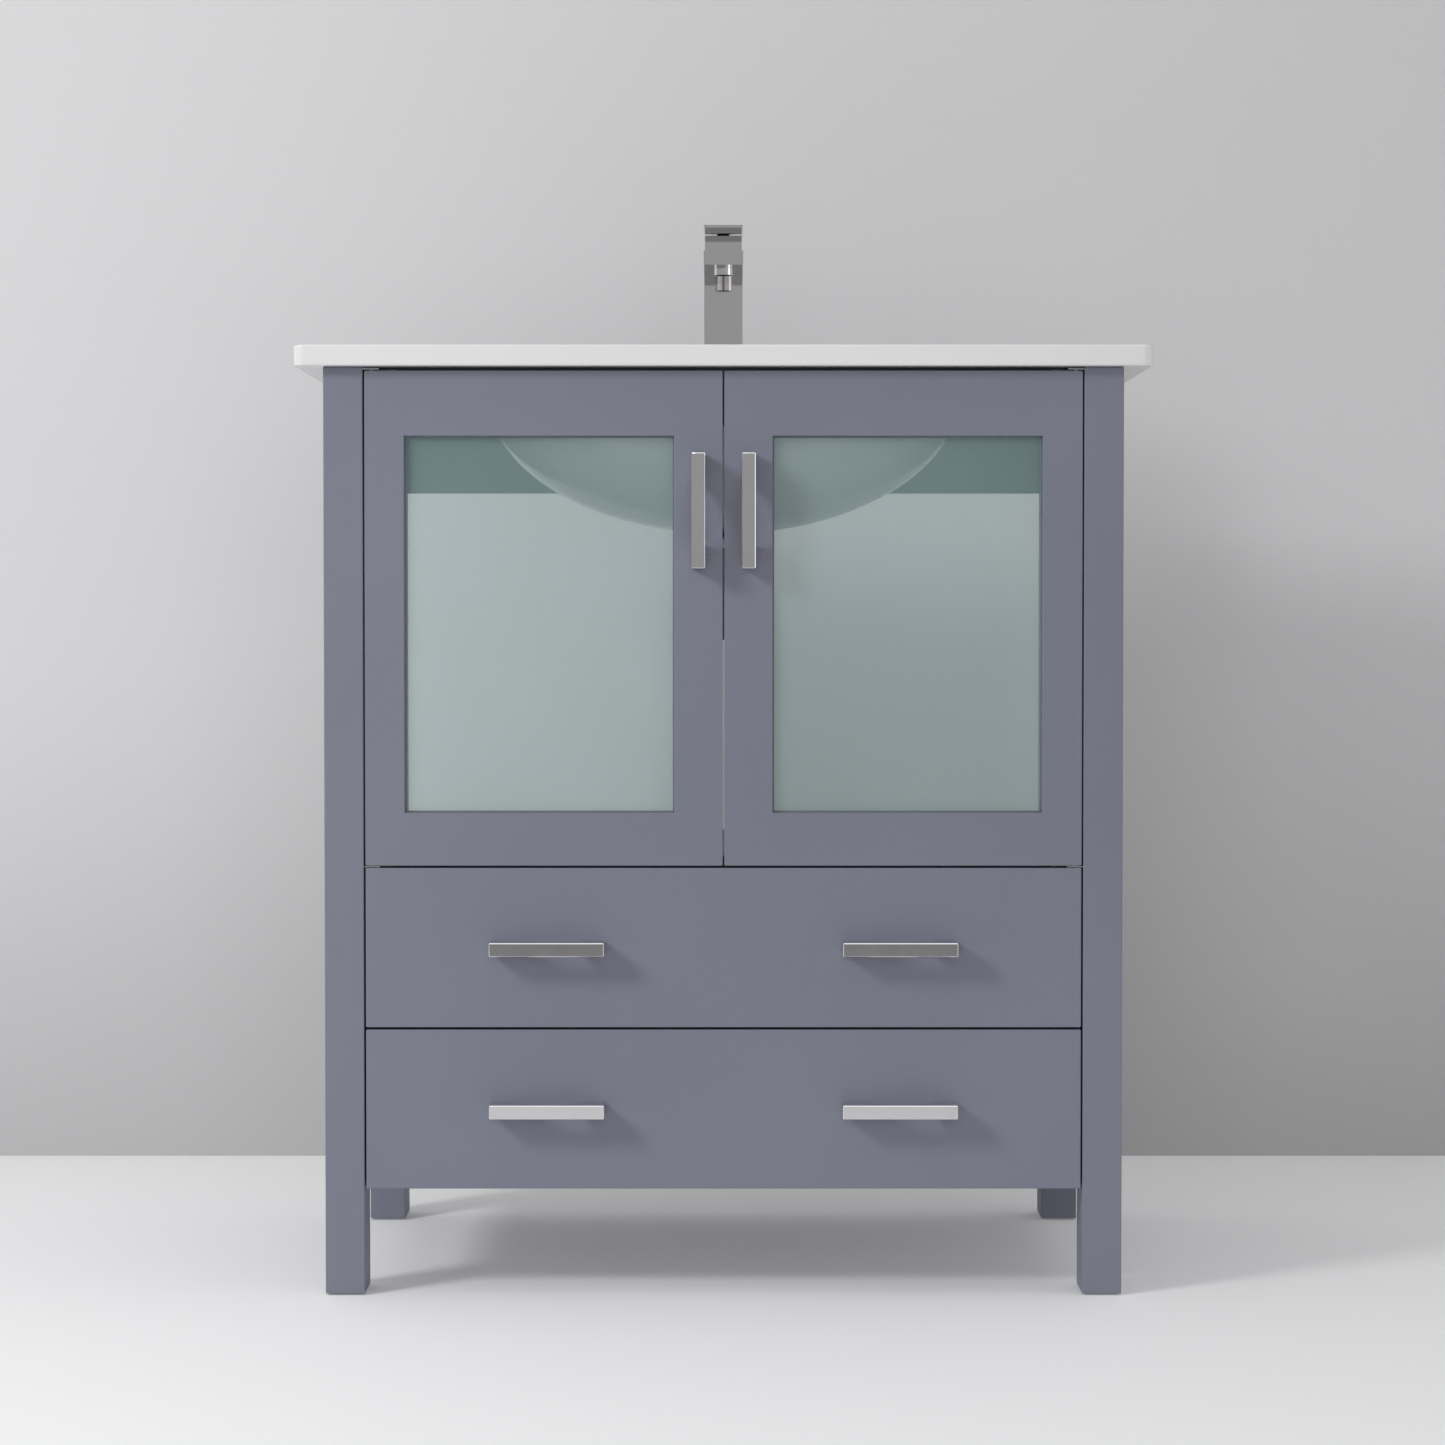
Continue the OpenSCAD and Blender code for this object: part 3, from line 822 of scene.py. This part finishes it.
# ------------------------------------------------------------------ top, drain


def bowl(name, centre, radii, rim_above):
    """Half an ellipsoid hanging below its centre, its rim drawn up by rim_above and closed."""
    deselect_all()
    bpy.ops.mesh.primitive_uv_sphere_add(segments=160, ring_count=80, radius=1, location=(0, 0, 0))
    piece = bpy.context.active_object
    with editing(piece, "FACE"):
        bpy.ops.mesh.select_all(action="SELECT")
        bpy.ops.mesh.bisect(plane_co=(0, 0, 0), plane_no=(0, 0, 1), clear_outer=True)
    piece.scale = radii
    piece.location = centre
    named(name)
    with editing(piece, "EDGE"):
        pick_edges(piece, lambda middle, way: middle.z > centre[2] - CLOSE)
        bpy.ops.mesh.extrude_region_move(TRANSFORM_OT_translate={"value": (0, 0, rim_above)})
        bpy.ops.mesh.edge_face_add()
        bpy.ops.mesh.select_all(action="SELECT")
        bpy.ops.mesh.normals_make_consistent(inside=False)
    return piece


class VANITY_OT_ceramic_top(bpy.types.Operator):
    """The ceramic slab and its basin, in one casting"""

    bl_idname = "vanity.ceramic_top"
    bl_label = "Ceramic top"

    def execute(self, context):
        low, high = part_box("vanity_top")
        slab, slab_corner = 19 * MM, 10 * MM
        outer = Vector((229, 150, 142.6)) * MM
        inner = Vector((222, 143, 150)) * MM
        seat_rise, seat_radius, hole_radius, over = 20 * MM, 33 * MM, 22.5 * MM, 10 * MM
        under = high.z - slab
        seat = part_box("drain_flange")[0].z + seat_rise
        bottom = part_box("basin")[0].z
        drain_low, drain_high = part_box("drain_body")
        basin_y = (drain_low.y + drain_high.y) / 2
        piece = block("ceramic_top", (low.x, low.y, under), high)
        bevel_edges(piece, lambda middle, way: abs(way.z) > ALONG, slab_corner, 8)
        soften(piece, sizes().slab_edge, 4, angle=50)
        fuse(piece, bowl("outside", (0, basin_y, under), outer, slab / 2))

        def drilled(name, start, end, radius):
            return rod(name, (0, basin_y, start), (0, basin_y, end), radius, 96)

        carve(
            piece,
            bowl("inside", (0, basin_y, high.z), inner, 2 * over),
            drilled("drain_seat", seat, seat + 2 * over, seat_radius),
            drilled("drain_hole", bottom - over, seat + over, hole_radius),
        )

        def rim(middle, way):
            within = 0.01
            x, y = middle.x / inner.x, (middle.y - basin_y) / inner.y
            return abs(middle.z - high.z) < CLOSE and abs(math.hypot(x, y) - 1) < within

        bevel_edges(piece, rim, sizes().basin_rim, 6)
        place_piece(tidy(piece, 30), material("glazed_ceramic"), "vanity_top", "basin")
        return {"FINISHED"}


class VANITY_OT_drain(bpy.types.Operator):
    """Drain flange, stopper, body, gasket, nut and tailpiece"""

    bl_idname = "vanity.drain"
    bl_label = "Drain"

    def execute(self, context):
        refined("drain_flange", 0.5 * MM, material("tap_plate"))
        refined("drain_stopper", 1.2 * MM, material("tap_plate"), angle=60, segments=4)
        for node in ("drain_body", "drain_locknut", "tailpiece"):
            refined(node, 0.5 * MM, material("tap_plate"))
        refined("drain_gasket", 0.5 * MM, material("black_rubber"))
        return {"FINISHED"}


# ------------------------------------------------------------------ tap


class VANITY_OT_tap(bpy.types.Operator):
    """The square tap: column and spout, cap, lever and what holds them"""

    bl_idname = "vanity.tap"
    bl_label = "Tap"

    def execute(self, context):
        low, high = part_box("tap_body")
        column, spout = 38 * MM, 13.6 * MM
        outlet_radius, outlet_roof = 8.8 * MM, 7 * MM
        bore_radius, bore_depth, over = 17.5 * MM, 45 * MM, 5 * MM
        aerator_low, aerator_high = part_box("tap_aerator")
        middle = (aerator_low + aerator_high) / 2
        body = block("tap_column", (low.x, high.y - column, low.z), high)
        fuse(body, block("spout", (low.x, low.y, high.z - spout), high))

        def drilled(name, y, start, end, radius, sides):
            return rod(name, (middle.x, y, start), (middle.x, y, end), radius, sides)

        roof = high.z - outlet_roof
        carve(body, drilled("outlet", middle.y, aerator_low.z, roof, outlet_radius, 64))
        chamfer(body, sizes().tap_edge)
        axis, floor = high.y - column / 2, high.z - bore_depth
        carve(body, drilled("bore", axis, floor, high.z + over, bore_radius, 96))
        place_piece(tidy(body), material("tap_plate"), "tap_body")
        refined("tap_swivel", 0.7 * MM, material("tap_plate"), angle=50, segments=3)
        refined("tap_lever", 0.7 * MM, material("tap_plate"), angle=50, segments=3)
        refined("tap_aerator", 0.25 * MM, material("tap_plate"))
        refined("tap_shank", 0.4 * MM, material("tap_plate"))
        refined("tap_base_gasket", 0.2 * MM, material("black_rubber"))
        refined("tap_cartridge", 0.4 * MM, material("cartridge_grey"))
        for node in ("tap_mounting_nut", "tap_bonnet_ring", "tap_lever_pin"):
            refined(node, 0.3 * MM, material("zinc_plate"))
        return {"FINISHED"}


# ------------------------------------------------------------------ hardware


class VANITY_OT_hardware(bpy.types.Operator):
    """Hinge brackets, catches and the cabinet's own screws"""

    bl_idname = "vanity.hardware"
    bl_label = "Hardware"

    def execute(self, context):
        edge = sizes().hardware_edge
        refined("door_hinge_brackets", edge, material("zinc_plate"))
        refined("cabinet_screws", edge, material("zinc_plate"))
        refined("door_catches", 0.5 * MM, material("pale_nylon"))
        return {"FINISHED"}


# ------------------------------------------------------------------ studio


def plain(name, colour, axis, start, end, dim, painted_glow):
    """A matt studio surface with painted shade and painted light: its colour is painted darker
    before start along an axis and whole past end, its glow is painted light that shines from within
    though it is no lamp, and it is clear from behind, so that the back and the underside of the
    cabinet show."""
    finish = Finish(name)
    cloud = finish.noise(0.8, detail=2)
    along = finish.add("ShaderNodeSeparateXYZ", output="XYZ".index(axis), Vector=finish.place())
    tone = finish.mix(cloud, shade(colour, 0.99), shade(colour, 1.01))
    behind = finish.add("ShaderNodeNewGeometry", output="Backfacing")
    # Painted shade: the colour is darkened by dim before start along the axis. Painted light: the
    # emission makes the surface glow though it is no lamp.
    finish.set(
        Base_Color=finish.mix(finish.ramp(along, start, end), shade(colour, dim), tone),
        Roughness=0.85, Emission_Color=shade(colour, 1.0), Emission_Strength=painted_glow, Alpha=1 - behind,
    )
    return finish.material


def screen(name, size, middle, tilt):
    """A flat sheet that faces up, or towards the front when tilted by 90 degrees."""
    deselect_all()
    bpy.ops.mesh.primitive_plane_add(size=1, location=middle, rotation=(math.radians(tilt), 0, 0))
    bpy.context.active_object.scale = (*size, 1)
    return named(name)


def lamp(name, place, target, size, power, glossy):
    """A square soft light that looks at a point."""
    deselect_all()
    bpy.ops.object.light_add(type="AREA", location=place)
    light = bpy.context.active_object
    light.name = name
    light.data.size = size
    light.data.energy = power
    light.rotation_euler = (Vector(target) - Vector(place)).to_track_quat("-Z", "Y").to_euler()
    light.visible_glossy = glossy


def surroundings(low, high, bright, window):
    """A studio world: dim in front and to the left, darker under the horizon, bright elsewhere,
    with a window overhead and one to the right."""
    world = bpy.data.worlds.new("studio")
    world.use_nodes = True
    tree = world.node_tree
    nodes = tree.nodes

    def ramp(value, start, end):
        node = nodes.new("ShaderNodeMapRange")
        node.interpolation_type = "SMOOTHSTEP"
        node.inputs["From Min"].default_value = start
        node.inputs["From Max"].default_value = end
        tree.links.new(value, node.inputs["Value"])
        return node.outputs[0]

    def mix(factor, first, second):
        node = nodes.new("ShaderNodeMix")
        tree.links.new(factor, node.inputs[0])
        for slot, value in ((node.inputs[2], first), (node.inputs[3], second)):
            if isinstance(value, float):
                slot.default_value = value
            else:
                tree.links.new(value, slot)
        return node.outputs[0]

    where = nodes.new("ShaderNodeTexCoord").outputs["Generated"]
    parts = nodes.new("ShaderNodeSeparateXYZ")
    tree.links.new(where, parts.inputs[0])
    toward = nodes.new("ShaderNodeVectorMath")
    toward.operation = "DOT_PRODUCT"
    toward.inputs[1].default_value = (-0.6, -0.8, 0)
    tree.links.new(where, toward.inputs[0])
    dim = mix(ramp(parts.outputs["Z"], -0.04, 0.02), low, high)
    strength = mix(ramp(toward.outputs["Value"], 0.35, 0.6), bright, dim)
    for axis in "ZX":
        strength = mix(ramp(parts.outputs[axis], 0.86, 0.93), strength, window)
    background = nodes["Background"]
    background.inputs["Color"].default_value = (1, 1, 1, 1)
    tree.links.new(strength, background.inputs["Strength"])
    return world


class VANITY_OT_stage(bpy.types.Operator):
    """Floor, wall, lights and camera"""

    bl_idname = "vanity.stage"
    bl_label = "Stage"

    def execute(self, context):
        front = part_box("left_door_stiles")[0].y
        wall_y = front + 0.81
        floor_y = front - 2.2
        width, wall_height = 12, 5
        floor = screen("floor", (width, wall_y - floor_y), (0, (wall_y + floor_y) / 2, 0), 0)
        wall = screen("wall", (width, wall_height), (0, wall_y, wall_height / 2), 90)
        # The floor carries painted shade, darker towards the camera, and a painted glow that
        # lightens it everywhere, the shade under the cabinet too.
        floor.data.materials.append(plain(
            "floor_surface", (0.74, 0.74, 0.745), axis="Y", start=front - 1.2, end=front - 0.6,
            dim=0.68, painted_glow=0.17,
        ))
        # The wall carries painted shade: it is painted darker towards the bottom.
        wall.data.materials.append(plain(
            "wall_surface", (0.69, 0.69, 0.70), axis="Z", start=-0.1, end=0.62, dim=0.70, painted_glow=0.0
        ))
        lamp(
            "key", (-2.33, front - 1.74, 2.04), target=(0, front + 0.2, 0.5), size=0.75, power=50,
            glossy=True,
        )
        lamp(
            "fill", (0, front - 3.5, 0.9), target=(0, front, 0.4), size=1.6, power=22, glossy=False
        )
        context.scene.world = surroundings(low=0.22, high=0.36, bright=0.42, window=1.4)
        bpy.ops.object.camera_add(
            location=(-0.0009, front - 3.035, 0.5948), rotation=(math.radians(90 - 1.5565), 0, 0)
        )
        camera = bpy.context.active_object
        camera.data.lens = 85
        camera.data.sensor_width = 36
        context.scene.camera = camera
        context.scene.view_settings.view_transform = "Standard"
        return {"FINISHED"}


# ------------------------------------------------------------------ add-on


OPERATORS = (
    VANITY_OT_legs,
    VANITY_OT_boards,
    VANITY_OT_doors,
    VANITY_OT_drawers,
    VANITY_OT_handles,
    VANITY_OT_ceramic_top,
    VANITY_OT_drain,
    VANITY_OT_tap,
    VANITY_OT_hardware,
    VANITY_OT_stage,
)


class VANITY_PT_panel(bpy.types.Panel):
    """Lists the pieces of the vanity cabinet"""

    bl_idname = "VANITY_PT_panel"
    bl_label = "Vanity cabinet"
    bl_space_type = "VIEW_3D"
    bl_region_type = "UI"
    bl_category = "Vanity"

    def draw(self, context):
        layout = self.layout
        for operator in OPERATORS:
            layout.operator(operator.bl_idname)
        for group in (context.scene.vanity_sizes, context.scene.vanity_colours):
            for name in group.__annotations__:
                layout.prop(group, name)


CLASSES = (VanitySizes, VanityColours, *OPERATORS, VANITY_PT_panel)


def register():
    for cls in CLASSES:
        bpy.utils.register_class(cls)
    bpy.types.Scene.vanity_sizes = PointerProperty(type=VanitySizes)
    bpy.types.Scene.vanity_colours = PointerProperty(type=VanityColours)


def unregister():
    del bpy.types.Scene.vanity_colours
    del bpy.types.Scene.vanity_sizes
    for cls in reversed(CLASSES):
        bpy.utils.unregister_class(cls)


def main():
    register()
    for operator in OPERATORS:
        group, name = operator.bl_idname.split(".")
        getattr(getattr(bpy.ops, group), name)()


if __name__ == "__main__":
    main()
